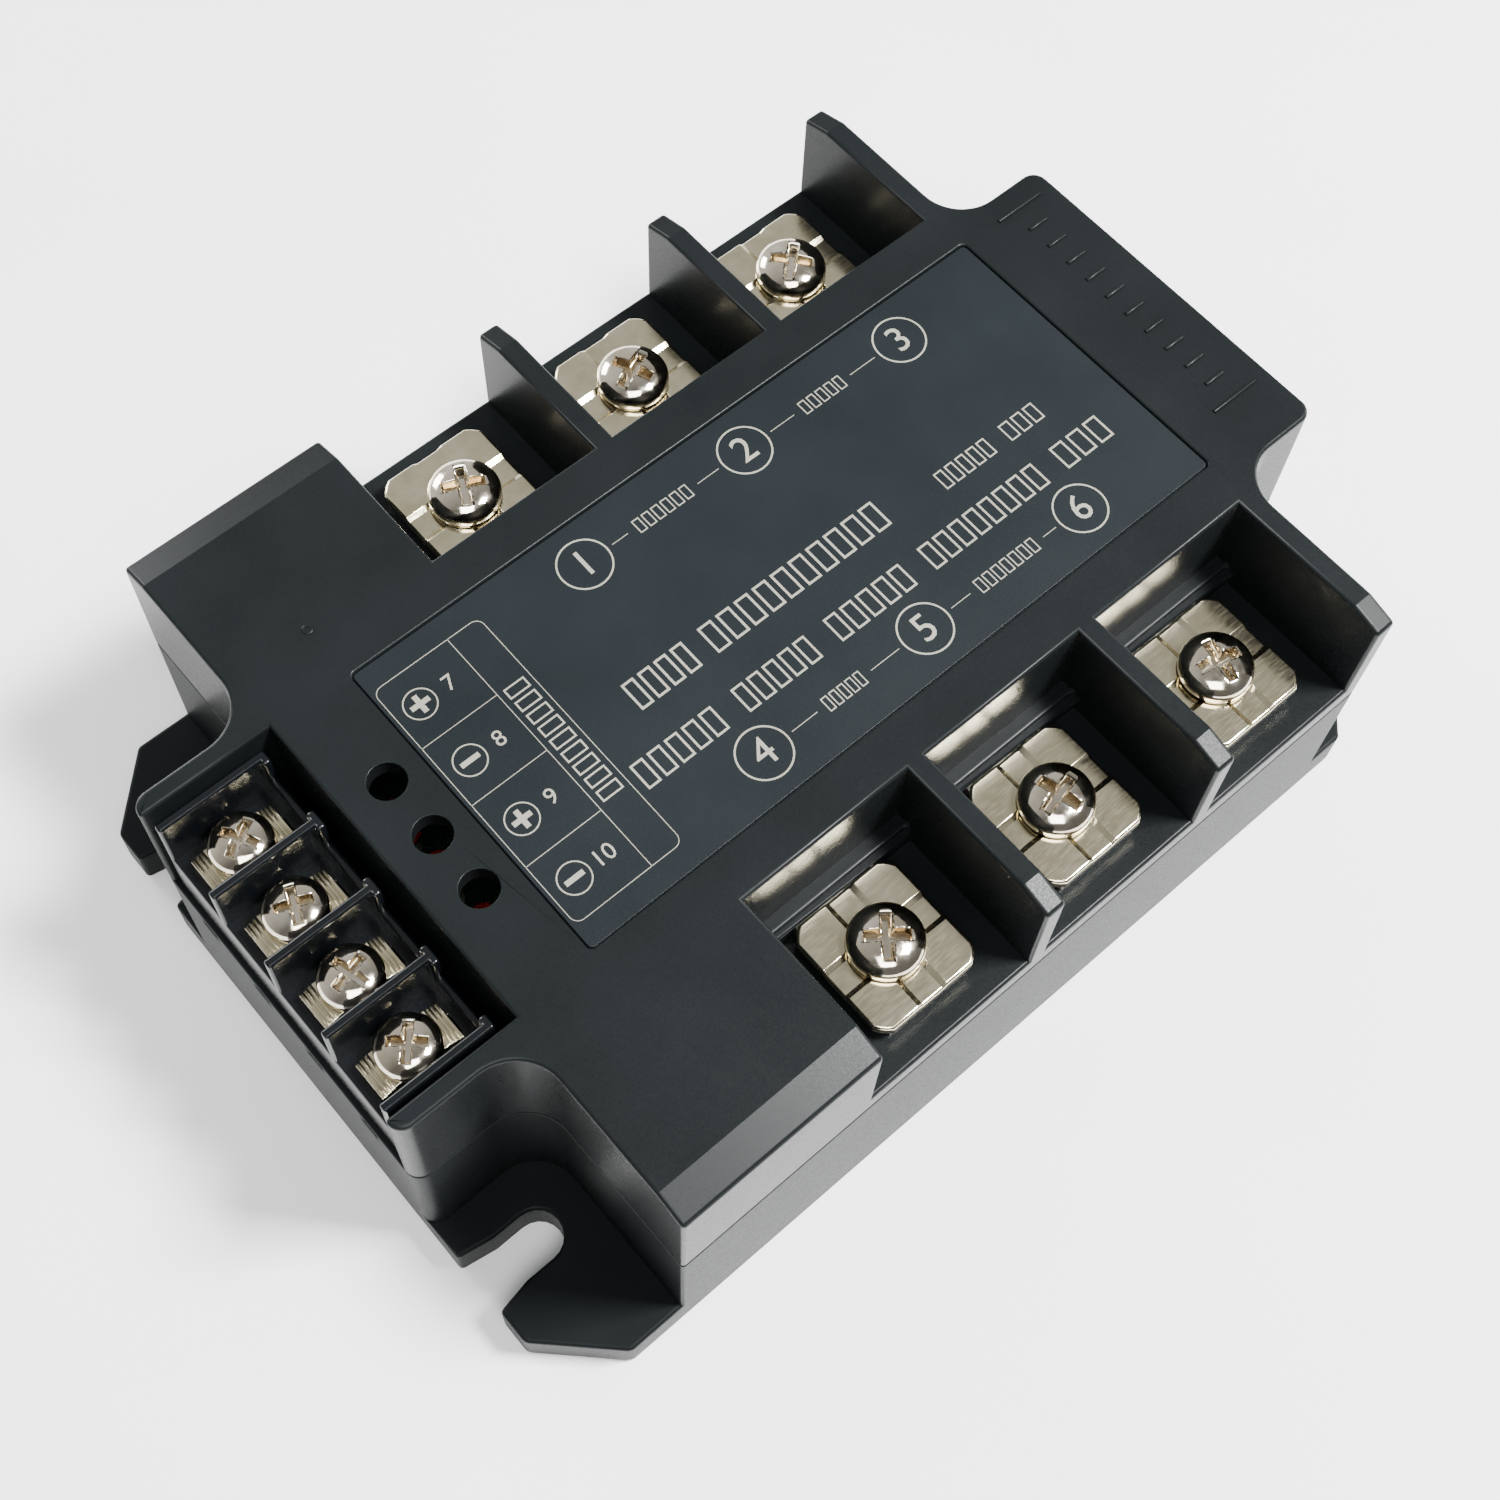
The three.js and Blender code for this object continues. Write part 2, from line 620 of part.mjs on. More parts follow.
// Two chips back to back on a copper pad: one electronic switch for alternating current.
function makeChipPair(x, side) {
  const padZ = ceramicTopZ + restGap;
  const padTopZ = padZ + padThickness;
  const padLength = bayWidth - 2 * padInset;
  const padOuterY = barFootY - padFootGap;
  const padWidth = padOuterY - padMiddle;
  const y = side * (padMiddle + padOuterY) / 2;
  const chipPitch = padLength / 2;
  const chipSize = chipPitch - chipGap;
  const chips = [-1, 1].map((side) => standing(
    [x + side * chipPitch / 2, y], [chipSize, chipSize], padZ, padTopZ + chipThickness));
  return join([standing([x, y], [padLength, padWidth], padZ, padTopZ), ...chips]);
}

function makeBoard() {
  const y = legOuterY - barThickness - boardLegGap;
  const pinHoles = [];
  for (let pole = 0; pole < controlPoles; pole += 1) {
    pinHoles.push(standing([pinX, controlY(pole)],
      [pinThickness + 2 * pinGap, pinWidth + 2 * pinGap], 0, height));
  }
  const sheet = block(
    [controlEndX + boardEndInset, -y, boardZ], [plainEndX - boardEndInset, y, boardTopZ]);
  return cut(sheet, pinHoles);
}

function makeCoupler(x, y) {
  const z0 = boardTopZ + coupler.stand;
  const body = standing([x, y], [coupler.length, coupler.width], z0, z0 + coupler.height);
  const legs = [];
  const legSpan = coupler.width + 2 * coupler.legReach;
  for (const step of [-1, 0, 1]) {
    const legX = x + step * leadPitch;
    const legTop = z0 + coupler.height / 2;
    legs.push(standing([legX, y], [coupler.leg, legSpan], legTop - coupler.leg, legTop));
    for (const side of [-1, 1]) {
      const legY = y + side * (legSpan - coupler.leg) / 2;
      legs.push(standing([legX, legY], [coupler.leg, coupler.leg], boardTopZ + restGap, legTop));
    }
  }
  return join([body, ...legs]);
}

function makeCapacitor(x, y) {
  const z0 = boardTopZ + capacitor.stand;
  const leads = [-1, 1].map((side) => standing(
    [x + side * capacitor.leadPitch / 2, y], [capacitor.lead, capacitor.lead],
    boardTopZ + restGap, z0 + margin));
  const body = standing([x, y], [capacitor.length, capacitor.width], z0, z0 + capacitor.height);
  return join([body, ...leads]);
}

const relay = new THREE.Group();

function place(name, solid, material) {
  const mesh = new THREE.Mesh(toGeometry(solid), material);
  mesh.name = name;
  relay.add(mesh);
}

place("base_plate", makeBasePlate(), plateMetal);
place("lower_case", makeCase(), housingPlastic);
place("cover", makeCover(), housingPlastic);
place("label", makeLabel(), labelFilm);
place("control_block", makeControlBlock(), blockPlastic);
place("ceramic_substrate", makeCeramic(), ceramicWhite);
place("control_board", makeBoard(), boardGreen);

lightPlaces().forEach((spot, i) => place(`indicator_light_${i + 1}`, makeLight(spot), lensRed));

for (let pole = 0; pole < controlPoles; pole += 1) {
  const spot = [controlX, controlY(pole)];
  place(`control_contact_${pole + 1}`, makeContact(spot[1]), nickel);
  place(`control_clamp_${pole + 1}`, makeControlClamp(spot[1]), nickel);
  place(`control_screw_${pole + 1}`, makeScrew(controlScrew, spot, controlHeadZ), screwSteel);
}

// Terminals 1 to 3 are the supply side, along +Y, and 4 to 6 the motor side, along -Y.
for (const [row, side] of [1, -1].entries()) {
  for (let pole = 0; pole < powerPoles; pole += 1) {
    const number = row * powerPoles + pole + 1;
    const spot = [powerX(pole), side * terminalY];
    place(`terminal_nut_${number}`, makeNut(...spot), screwSteel);
    place(`power_clamp_${number}`, makePowerClamp(...spot), nickel);
    place(`power_screw_${number}`, makeScrew(powerScrew, spot, powerHeadZ), screwSteel);
    if (pole !== 1) place(`power_bar_${number}`, makeBar(powerX(pole), side), copper);
  }
}
place("through_bar", makeThroughBar(powerX(1)), copper);

// Four switches: each outer supply phase can reach either outer motor phase.
[[0, 1], [0, -1], [2, 1], [2, -1]].forEach(([pole, side], i) => {
  place(`thyristor_pair_${i + 1}`, makeChipPair(powerX(pole), side), silicon);
});

for (let i = 0; i < innerCount; i += 1) {
  place(`optocoupler_${i + 1}`, makeCoupler(innerX(i), -innerRow), darkResin);
  place(`snubber_capacitor_${i + 1}`, makeCapacitor(innerX(i), innerRow), capacitorYellow);
}

export default relay;
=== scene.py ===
import math

import bmesh
import bpy
from mathutils import Matrix, Vector


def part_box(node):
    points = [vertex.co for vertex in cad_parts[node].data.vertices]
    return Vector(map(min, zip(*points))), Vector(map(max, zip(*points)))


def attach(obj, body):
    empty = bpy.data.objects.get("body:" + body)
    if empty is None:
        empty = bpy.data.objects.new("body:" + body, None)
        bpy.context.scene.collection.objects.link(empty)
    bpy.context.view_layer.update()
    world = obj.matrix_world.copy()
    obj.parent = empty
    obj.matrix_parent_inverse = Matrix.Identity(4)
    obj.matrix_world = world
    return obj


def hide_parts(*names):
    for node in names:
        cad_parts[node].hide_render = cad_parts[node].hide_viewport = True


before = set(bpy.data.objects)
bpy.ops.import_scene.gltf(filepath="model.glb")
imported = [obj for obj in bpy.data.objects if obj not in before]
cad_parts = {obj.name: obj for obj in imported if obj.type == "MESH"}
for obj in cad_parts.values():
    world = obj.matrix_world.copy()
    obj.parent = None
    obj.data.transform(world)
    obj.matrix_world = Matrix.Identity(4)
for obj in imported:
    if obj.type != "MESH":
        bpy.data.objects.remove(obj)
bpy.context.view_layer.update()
mm = 0.001
print("frame loaded:", len(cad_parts), "nodes")


# ways of working that every piece shares

def deselectAll():
    if bpy.context.mode != "OBJECT":
        bpy.ops.object.mode_set(mode="OBJECT")
    bpy.ops.object.select_all(action="DESELECT")


def takeUp(piece):
    deselectAll()
    piece.select_set(True)
    bpy.context.view_layer.objects.active = piece


def named(name):
    piece = bpy.context.active_object
    piece.name = name
    piece.data.name = name
    return piece


def pick(piece, kind, test):
    # opens the piece with only the corners, edges or faces selected whose middle passes the test
    takeUp(piece)
    mesh = piece.data
    for group in (mesh.vertices, mesh.edges, mesh.polygons):
        group.foreach_set("select", [False] * len(group))
    bpy.context.tool_settings.mesh_select_mode = [kind == "VERT", kind == "EDGE", kind == "FACE"]
    if kind == "VERT":
        for corner in mesh.vertices:
            corner.select = test(corner.co)
    elif kind == "EDGE":
        for edge in mesh.edges:
            edge.select = test(*(mesh.vertices[i].co for i in edge.vertices))
    else:
        for face in mesh.polygons:
            face.select = test(face.center, face.normal)
    bpy.ops.object.mode_set(mode="EDIT")


def finishWith(piece, kind, **settings):
    takeUp(piece)
    modifier = piece.modifiers.new(kind.lower(), kind)
    for key, value in settings.items():
        setattr(modifier, key, value)
    bpy.ops.object.modifier_apply(modifier=modifier.name)


def settle(piece):
    # leaves the piece's place in its mesh and its object at the origin
    takeUp(piece)
    bpy.ops.object.transform_apply(location=True, rotation=True, scale=True)


def smooth(piece, angle=40, crisp=None):
    # flat faces stay flat and rounded edges run smoothly; edges over the angle in degrees stay
    # sharp, and so do the ones that crisp picks
    takeUp(piece)
    bpy.ops.object.shade_smooth_by_angle(angle=math.radians(angle))
    if crisp:
        mesh = piece.data
        for edge in mesh.edges:
            if crisp(*(mesh.vertices[i].co for i in edge.vertices)):
                edge.use_edge_sharp = True
    finishWith(piece, "WEIGHTED_NORMAL", keep_sharp=True, weight=80, use_face_influence=True)


def dress(piece, material):
    piece.data.materials.clear()
    piece.data.materials.append(material)


def carry(piece, body, slot, *nodes):
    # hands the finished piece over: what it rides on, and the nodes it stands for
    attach(piece, body)
    if nodes:
        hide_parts(*nodes)


def copyTo(piece, name, place, turn=0):
    # a copy with its own mesh, turned by some degrees about the upright axis and then put in place
    twin = piece.copy()
    twin.data = piece.data.copy()
    twin.name = name
    twin.data.name = name
    bpy.context.scene.collection.objects.link(twin)
    spin = Matrix.Rotation(math.radians(turn), 4, "Z")
    twin.data.transform(Matrix.Translation(Vector(place)) @ spin)
    return twin


def discard(*pieces):
    for piece in pieces:
        bpy.data.objects.remove(piece)


def middleOf(node):
    low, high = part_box(node)
    return (low + high) / 2


def addBlock(name, size, place=(0, 0, 0)):
    deselectAll()
    bpy.ops.mesh.primitive_cube_add(size=1, location=place)
    piece = named(name)
    piece.scale = size
    settle(piece)
    return piece


def addTurned(name, profile, steps):
    # a round solid on the upright axis: a disc drawn up through its profile of radius and height
    deselectAll()
    radius, z = profile[0]
    bpy.ops.mesh.primitive_circle_add(vertices=steps, radius=radius, fill_type="NGON",
                                      location=(0, 0, z))
    piece = named(name)
    settle(piece)
    pick(piece, "FACE", lambda centre, normal: True)
    for nextRadius, nextZ in profile[1:]:
        bpy.ops.mesh.extrude_region_move(TRANSFORM_OT_translate={"value": (0, 0, nextZ - z)})
        ratio = nextRadius / radius
        bpy.ops.transform.resize(value=(ratio, ratio, 1), center_override=(0, 0, nextZ))
        radius, z = nextRadius, nextZ
    bpy.ops.mesh.select_all(action="SELECT")
    bpy.ops.mesh.normals_make_consistent(inside=False)
    deselectAll()
    return piece


def carve(piece, *tools):
    for tool in tools:
        finishWith(piece, "BOOLEAN", operation="DIFFERENCE", object=tool, solver="EXACT")
    discard(*tools)


merging = {"distance": 0.002 * mm, "flat": 0.6}  # flat in degrees


def mergedCopy(node, name):
    # a copy of a node with its loose triangles joined and its flat faces made whole
    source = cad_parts[node]
    piece = source.copy()
    piece.data = source.data.copy()
    piece.parent = None
    for key in list(piece.keys()):
        del piece[key]
    piece.name = name
    piece.data.name = name
    bpy.context.scene.collection.objects.link(piece)
    pick(piece, "VERT", lambda place: True)
    bpy.ops.mesh.customdata_custom_splitnormals_clear()
    bpy.ops.mesh.remove_doubles(threshold=merging["distance"])
    bpy.ops.mesh.select_all(action="SELECT")
    bpy.ops.mesh.dissolve_limited(angle_limit=math.radians(merging["flat"]))
    bpy.ops.mesh.select_all(action="SELECT")
    bpy.ops.mesh.quads_convert_to_tris(quad_method="BEAUTY", ngon_method="BEAUTY")
    deselectAll()
    return piece


def roundEdges(piece, width, segments=2, share=None, sharp=35):
    # rounds the outward edges that turn by more than sharp degrees; share says how much of the
    # width the edge with this middle takes, from 0 to 1
    mesh = piece.data
    form = bmesh.new()
    form.from_mesh(mesh)
    weights = [0.0] * len(mesh.edges)
    for edge in form.edges:
        if len(edge.link_faces) == 2 and edge.calc_face_angle_signed() > math.radians(sharp):
            middle = (edge.verts[0].co + edge.verts[1].co) / 2
            weights[edge.index] = share(middle) if share else 1.0
    form.free()
    name = "bevel_weight_edge"
    marks = mesh.attributes.get(name) or mesh.attributes.new(name, "FLOAT", "EDGE")
    marks.data.foreach_set("value", weights)
    finishWith(piece, "BEVEL", limit_method="WEIGHT", width=width, segments=segments,
               use_clamp_overlap=False, loop_slide=False, face_strength_mode="FSTR_ALL")


# materials

def newMaterial(name):
    material = bpy.data.materials.new(name)
    material.use_nodes = True
    tree = material.node_tree
    return material, tree, tree.nodes["Principled BSDF"]


def addNoise(tree, scale, detail, stretch=(1, 1, 1)):
    place = tree.nodes.new("ShaderNodeTexCoord")
    mapping = tree.nodes.new("ShaderNodeMapping")
    mapping.inputs["Scale"].default_value = stretch
    noise = tree.nodes.new("ShaderNodeTexNoise")
    noise.inputs["Scale"].default_value = scale
    noise.inputs["Detail"].default_value = detail
    tree.links.new(place.outputs["Object"], mapping.inputs["Vector"])
    tree.links.new(mapping.outputs["Vector"], noise.inputs["Vector"])
    return noise.outputs["Fac"]


noiseSpan = (0.3, 0.7)  # where most of a noise's values lie


def spread(tree, value, low, high, start=noiseSpan[0], end=noiseSpan[1]):
    # turns a value between start and end into a number between low and high
    remap = tree.nodes.new("ShaderNodeMapRange")
    remap.inputs["From Min"].default_value = start
    remap.inputs["From Max"].default_value = end
    remap.inputs["To Min"].default_value = low
    remap.inputs["To Max"].default_value = high
    tree.links.new(value, remap.inputs["Value"])
    return remap.outputs["Result"]


def blendColours(tree, value, dark, light):
    ramp = tree.nodes.new("ShaderNodeValToRGB")
    for stop, place, colour in zip(ramp.color_ramp.elements, noiseSpan, (dark, light)):
        stop.position = place
        stop.color = (*colour, 1)
    tree.links.new(value, ramp.inputs["Fac"])
    return ramp.outputs["Color"]


def addBump(tree, shader, height, depth, strength, under=None):
    bump = tree.nodes.new("ShaderNodeBump")
    bump.inputs["Distance"].default_value = depth
    bump.inputs["Strength"].default_value = strength
    tree.links.new(height, bump.inputs["Height"])
    if under is not None:
        tree.links.new(under, bump.inputs["Normal"])
    tree.links.new(bump.outputs["Normal"], shader.inputs["Normal"])
    return bump.outputs["Normal"]


# the scales are waves in a metre; the strengths go from 0 to 1
moulding = {"drift": 90, "driftDetail": 3, "fleckDetail": 2, "fleckStrength": 0.8,
            "swell": 180, "swellDetail": 1, "swellDepth": 0.006 * mm, "swellStrength": 0.5}
plating = {"mottle": 500, "mottleDetail": 4, "dentStrength": 0.5, "brushDetail": 3,
           "brushStrength": 0.6}


def plastic(name, dark, light, gloss, grainSize, grainDepth, shine=0.5):
    # moulded plastic: a fine spark-eroded grain, slow colour drift and uneven gloss
    material, tree, shader = newMaterial(name)
    shader.inputs["Specular IOR Level"].default_value = shine
    drift = addNoise(tree, moulding["drift"], moulding["driftDetail"])
    fleck = addNoise(tree, 1 / grainSize, moulding["fleckDetail"])
    tree.links.new(blendColours(tree, drift, dark, light), shader.inputs["Base Color"])
    tree.links.new(spread(tree, fleck, *gloss), shader.inputs["Roughness"])
    waves = addNoise(tree, moulding["swell"], moulding["swellDetail"])
    swell = addBump(tree, shader, waves, moulding["swellDepth"], moulding["swellStrength"])
    addBump(tree, shader, fleck, grainDepth, moulding["fleckStrength"], swell)
    return material


def metal(name, dark, light, gloss, brush, brushDepth, stretch=(1, 1, 1),
          dentDepth=0.008 * mm):
    # plated metal: fine brush marks along one way, a mottled tint and small dents
    material, tree, shader = newMaterial(name)
    shader.inputs["Metallic"].default_value = 1.0
    mottle = addNoise(tree, plating["mottle"], plating["mottleDetail"])
    lines = addNoise(tree, brush, plating["brushDetail"], stretch)
    tree.links.new(blendColours(tree, mottle, dark, light), shader.inputs["Base Color"])
    tree.links.new(spread(tree, lines, *gloss), shader.inputs["Roughness"])
    dents = addBump(tree, shader, mottle, dentDepth, plating["dentStrength"])
    addBump(tree, shader, lines, brushDepth, plating["brushStrength"], dents)
    return material


housingPlastic = plastic("housingPlastic", (0.0045, 0.0056, 0.0060), (0.0065, 0.0079, 0.0084),
                         (0.26, 0.38), 0.16 * mm, 0.003 * mm, 0.09)
casePlastic = plastic("casePlastic", (0.0045, 0.0056, 0.0060), (0.0065, 0.0079, 0.0084),
                      (0.34, 0.46), 0.16 * mm, 0.003 * mm, 0.05)
blockPlastic = plastic("blockPlastic", (0.0018, 0.0024, 0.0030), (0.0030, 0.0038, 0.0046),
                       (0.16, 0.22), 0.3 * mm, 0.001 * mm, 0.3)
labelFilm = plastic("labelFilm", (0.0046, 0.0064, 0.0078), (0.0066, 0.0088, 0.0104),
                    (0.34, 0.46), 0.12 * mm, 0.004 * mm, 0.14)
clampNickel = metal("clampNickel", (0.60, 0.54, 0.37), (0.74, 0.68, 0.49),
                    (0.13, 0.20), 700, 0.0006 * mm, (1, 6, 1))
screwNickel = metal("screwNickel", (0.62, 0.54, 0.41), (0.84, 0.78, 0.66),
                    (0.05, 0.15), 1200, 0.003 * mm, dentDepth=0.04 * mm)
barCopper = metal("barCopper", (0.62, 0.56, 0.46), (0.74, 0.69, 0.60),
                  (0.25, 0.4), 900, 0.004 * mm, (1, 9, 1))
plateAluminium = metal("plateAluminium", (0.62, 0.63, 0.64), (0.74, 0.75, 0.76),
                       (0.26, 0.42), 700, 0.006 * mm, (1, 14, 1))
siliconCopper = metal("siliconCopper", (0.42, 0.30, 0.22), (0.50, 0.38, 0.30),
                      (0.3, 0.45), 900, 0.003 * mm)
printInk = plastic("printInk", (0.17, 0.163, 0.130), (0.21, 0.203, 0.165),
                   (0.5, 0.65), 0.1 * mm, 0.004 * mm)
fireCeramic = plastic("fireCeramic", (0.72, 0.70, 0.64), (0.80, 0.78, 0.73),
                      (0.3, 0.45), 0.2 * mm, 0.006 * mm)
boardMask = plastic("boardMask", (0.004, 0.022, 0.010), (0.006, 0.030, 0.015),
                    (0.25, 0.4), 0.4 * mm, 0.006 * mm)
blackResin = plastic("blackResin", (0.010, 0.010, 0.011), (0.016, 0.016, 0.018),
                     (0.45, 0.6), 0.12 * mm, 0.012 * mm)
filmCase = plastic("filmCase", (0.50, 0.33, 0.06), (0.60, 0.42, 0.09),
                   (0.25, 0.4), 0.3 * mm, 0.004 * mm)
lensRed = plastic("lensRed", (0.16, 0.005, 0.003), (0.24, 0.009, 0.005),
                  (0.08, 0.16), 0.4 * mm, 0.002 * mm)
print("materials made:", len(bpy.data.materials))


# the housing: cover, lower case and control block keep the nodes' shapes, with rounded edges

housing = {"edge": 0.38 * mm, "seamEdge": 0.34 * mm, "holeEdge": 0.1 * mm,
           "labelEdge": 0.24 * mm, "blockEdge": 0.28 * mm, "segments": 3, "sideBevel": 3.2 * mm,
           "crispReach": 0.12 * mm, "seamReach": 0.1 * mm, "recessReach": 1 * mm}
flatPieces = {"labelEdge": 0.05 * mm, "plateEdge": 0.25 * mm}

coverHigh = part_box("cover")[1]
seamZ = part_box("lower_case")[1].z
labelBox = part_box("label")
lightBoxes = [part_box(f"indicator_light_{number}") for number in range(1, 4)]


def nearBox(at, box):
    # whether a place is over the box or close beside it, seen from above
    low, high = box
    reach = housing["recessReach"]
    return low.x - reach < at.x < high.x + reach and low.y - reach < at.y < high.y + reach


def makeCover():
    piece = mergedCopy("cover", "cover_shell")

    def share(middle):
        if middle.z < seamZ - housing["seamReach"]:
            return 0.0
        if middle.z < seamZ + housing["seamReach"]:
            return housing["seamEdge"] / housing["edge"]
        if any(nearBox(middle, box) for box in lightBoxes):
            return housing["holeEdge"] / housing["edge"]
        return housing["labelEdge"] / housing["edge"] if nearBox(middle, labelBox) else 1.0

    bevelY = coverHigh.y - housing["sideBevel"]
    near = housing["crispReach"]

    def atSideBevel(a, b):
        # where the flat top turns down towards the long sides, and on round the end edges
        return all(abs(abs(at.y) - bevelY) < near and at.z > coverHigh.z - housing["edge"] - near
                   for at in (a, b))

    roundEdges(piece, housing["edge"], housing["segments"], share)
    smooth(piece, crisp=atSideBevel)
    dress(piece, housingPlastic)
    carry(piece, "relay", "housing", "cover")


def makeLowerCase():
    piece = mergedCopy("lower_case", "lower_case_shell")

    def share(middle):
        atSeam = middle.z > seamZ - housing["seamReach"]
        return housing["seamEdge"] / housing["edge"] if atSeam else 1.0

    roundEdges(piece, housing["edge"], housing["segments"], share)
    smooth(piece)
    dress(piece, casePlastic)
    carry(piece, "relay", "housing", "lower_case")


def makeControlBlock():
    piece = mergedCopy("control_block", "control_block_shell")
    roundEdges(piece, housing["blockEdge"], housing["segments"])
    smooth(piece)
    dress(piece, blockPlastic)
    carry(piece, "relay", "block_plastic", "control_block")


def makeFlatPiece(name, node, width, material, slot):
    piece = mergedCopy(node, name)
    roundEdges(piece, width)
    smooth(piece)
    dress(piece, material)
    carry(piece, "relay", slot, node)


makeCover()
makeLowerCase()
makeControlBlock()
makeFlatPiece("label_sheet", "label", flatPieces["labelEdge"], labelFilm, "label_film")
makeFlatPiece("heat_plate", "base_plate", flatPieces["plateEdge"], plateAluminium, "plate_metal")
print("housing made")


# power terminals: a grooved clamp plate under a pan-head screw

powerClamp = {"corner": 1.3 * mm, "cornerProfile": 0.32, "roll": 0.34 * mm, "segments": 3,
              "groove": 3.3 * mm, "slope": 0.52 * mm, "grooveDepth": 0.32 * mm,
              "hole": 4.5 * mm, "holeSteps": 48, "break": 0.05 * mm, "breakOver": 27,
              "sharpOver": 25}


def shapePowerClamp():
    low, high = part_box("power_clamp_1")
    size = high - low
    top = size.z / 2
    piece = addBlock("power_clamp_shape", size)
    pick(piece, "EDGE", lambda a, b: abs(a.z - b.z) > top)
    bpy.ops.mesh.bevel(offset=powerClamp["corner"], segments=powerClamp["segments"],
                       profile=powerClamp["cornerProfile"], affect="EDGES")
    pick(piece, "EDGE", lambda a, b: abs(a.z - b.z) < top and abs(a.z) > top * 0.99)
    bpy.ops.mesh.bevel(offset=powerClamp["roll"], segments=powerClamp["segments"], affect="EDGES")
    outer = powerClamp["groove"] / 2
    inner = outer - powerClamp["slope"]
    for cut in (-outer, -inner, inner, outer):
        for axis in ((1, 0, 0), (0, 1, 0)):
            bpy.ops.mesh.select_all(action="SELECT")
            bpy.ops.mesh.bisect(plane_co=Vector(axis) * cut, plane_no=axis)
    rolled = top - powerClamp["roll"] * 1.05  # the flat top and the rolled edge above the side
    reach = inner + 0.01 * mm
    pick(piece, "VERT", lambda at: at.z > rolled and (abs(at.x) < reach or abs(at.y) < reach))
    bpy.ops.transform.translate(value=(0, 0, -powerClamp["grooveDepth"]))
    deselectAll()
    bpy.ops.mesh.primitive_cylinder_add(vertices=powerClamp["holeSteps"],
                                        radius=powerClamp["hole"] / 2, depth=4 * size.z)
    carve(piece, named("clamp_hole"))
    roundEdges(piece, powerClamp["break"], sharp=powerClamp["breakOver"])
    smooth(piece, powerClamp["sharpOver"])
    dress(piece, clampNickel)
    return piece


# slot and cross are a length, width and depth each, and the turns are in degrees
powerScrew = {"headHeight": 2.3 * mm, "core": 3.7 * mm, "tipBreak": 0.5 * mm, "steps": 72,
              "slot": (6.0 * mm, 1.1 * mm, 0.85 * mm),
              "cross": (4.4 * mm, 1.25 * mm, 1.5 * mm),
              "break": 0.1 * mm, "turns": (64, 23, 41, 52, 12, 77)}
controlScrew = {"headHeight": 2.0 * mm, "core": 2.7 * mm, "tipBreak": 0.4 * mm, "steps": 64,
                "slot": (4.9 * mm, 0.9 * mm, 0.75 * mm),
                "cross": (3.6 * mm, 1.0 * mm, 1.3 * mm),
                "break": 0.08 * mm, "turns": (30, 68, 15, 49)}

# a pan head: a broken lower edge, a short upright rim, and a full dome above it
panHead = {"foot": 0.955, "footRise": 0.07, "rim": 0.30, "domeSteps": 10, "domeEnd": 84,
           "domeFullness": 0.8, "slotTaper": 0.9, "crossTaper": 0.4, "recessSpare": 0.3 * mm,
           "breakOver": 40, "sharpOver": 42}


def recessTool(name, length, width, depth, top, taper):
    # a slot cutter that narrows downwards, standing a little out of the head
    spare = panHead["recessSpare"]
    tool = addBlock(name, (length, width, depth + spare), (0, 0, top + (spare - depth) / 2))
    pick(tool, "FACE", lambda centre, normal: normal.z < -0.9)
    bpy.ops.transform.resize(value=(1 - taper / 2, taper, 1), center_override=(0, 0, top - depth))
    deselectAll()
    return tool


def shapeScrew(name, node, values):
    low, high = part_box(node)
    radius = (high.x - low.x) / 2
    headHeight = values["headHeight"]
    headZ = high.z - headHeight
    core = values["core"] / 2
    tip = values["tipBreak"]
    profile = [(core - tip, low.z), (core, low.z + tip), (core, headZ)]
    profile += [(radius * panHead["foot"], headZ),
                (radius, headZ + headHeight * panHead["footRise"])]
    rim = headHeight * panHead["rim"]
    for step in range(panHead["domeSteps"] + 1):
        angle = math.radians(panHead["domeEnd"]) * step / panHead["domeSteps"]
        profile.append((radius * math.cos(angle) ** panHead["domeFullness"],
                        headZ + rim + (headHeight - rim) * math.sin(angle)))
    piece = addTurned(name, profile, values["steps"])
    slot = recessTool("slot_tool", *values["slot"], high.z, panHead["slotTaper"])
    across = recessTool("across_tool", *values["cross"], high.z, panHead["crossTaper"])
    along = copyTo(across, "along_tool", (0, 0, 0), 90)
    carve(piece, slot, across, along)
    roundEdges(piece, values["break"], share=lambda middle: 1.0 if middle.z > headZ else 0.0,
               sharp=panHead["breakOver"])
    smooth(piece, panHead["sharpOver"])
    dress(piece, screwNickel)
    return piece


def makePowerTerminals():
    clampShape = shapePowerClamp()
    screwShape = shapeScrew("power_screw_shape", "power_screw_1", powerScrew)
    for number in range(1, 7):
        place = middleOf(f"power_clamp_{number}")
        clamp = copyTo(clampShape, f"clamp_plate_{number}", place)
        carry(clamp, f"power_clamp_{number}", "nickel", f"power_clamp_{number}")
        screw = copyTo(screwShape, f"terminal_screw_{number}", (place.x, place.y, 0),
                       powerScrew["turns"][number - 1])
        carry(screw, f"power_screw_{number}", "screw_steel", f"power_screw_{number}")
    discard(clampShape, screwShape)


makePowerTerminals()
print("power terminals made")


# control terminals: a stepped clamp over a contact strip

# each step starts this far from the middle and lies this far below the top; the groove at its foot
# has a width and a depth
controlClamp = {"middle": 1.2 * mm, "tab": 3.7 * mm, "hole": 3.4 * mm, "holeSteps": 40,
                "steps": ((2.9 * mm, 0.10 * mm), (3.3 * mm, 0.30 * mm), (3.72 * mm, 0.50 * mm)),
                "groove": (0.16 * mm, 0.3 * mm), "break": 0.06 * mm, "breakOver": 15,
                "sharpOver": 30}


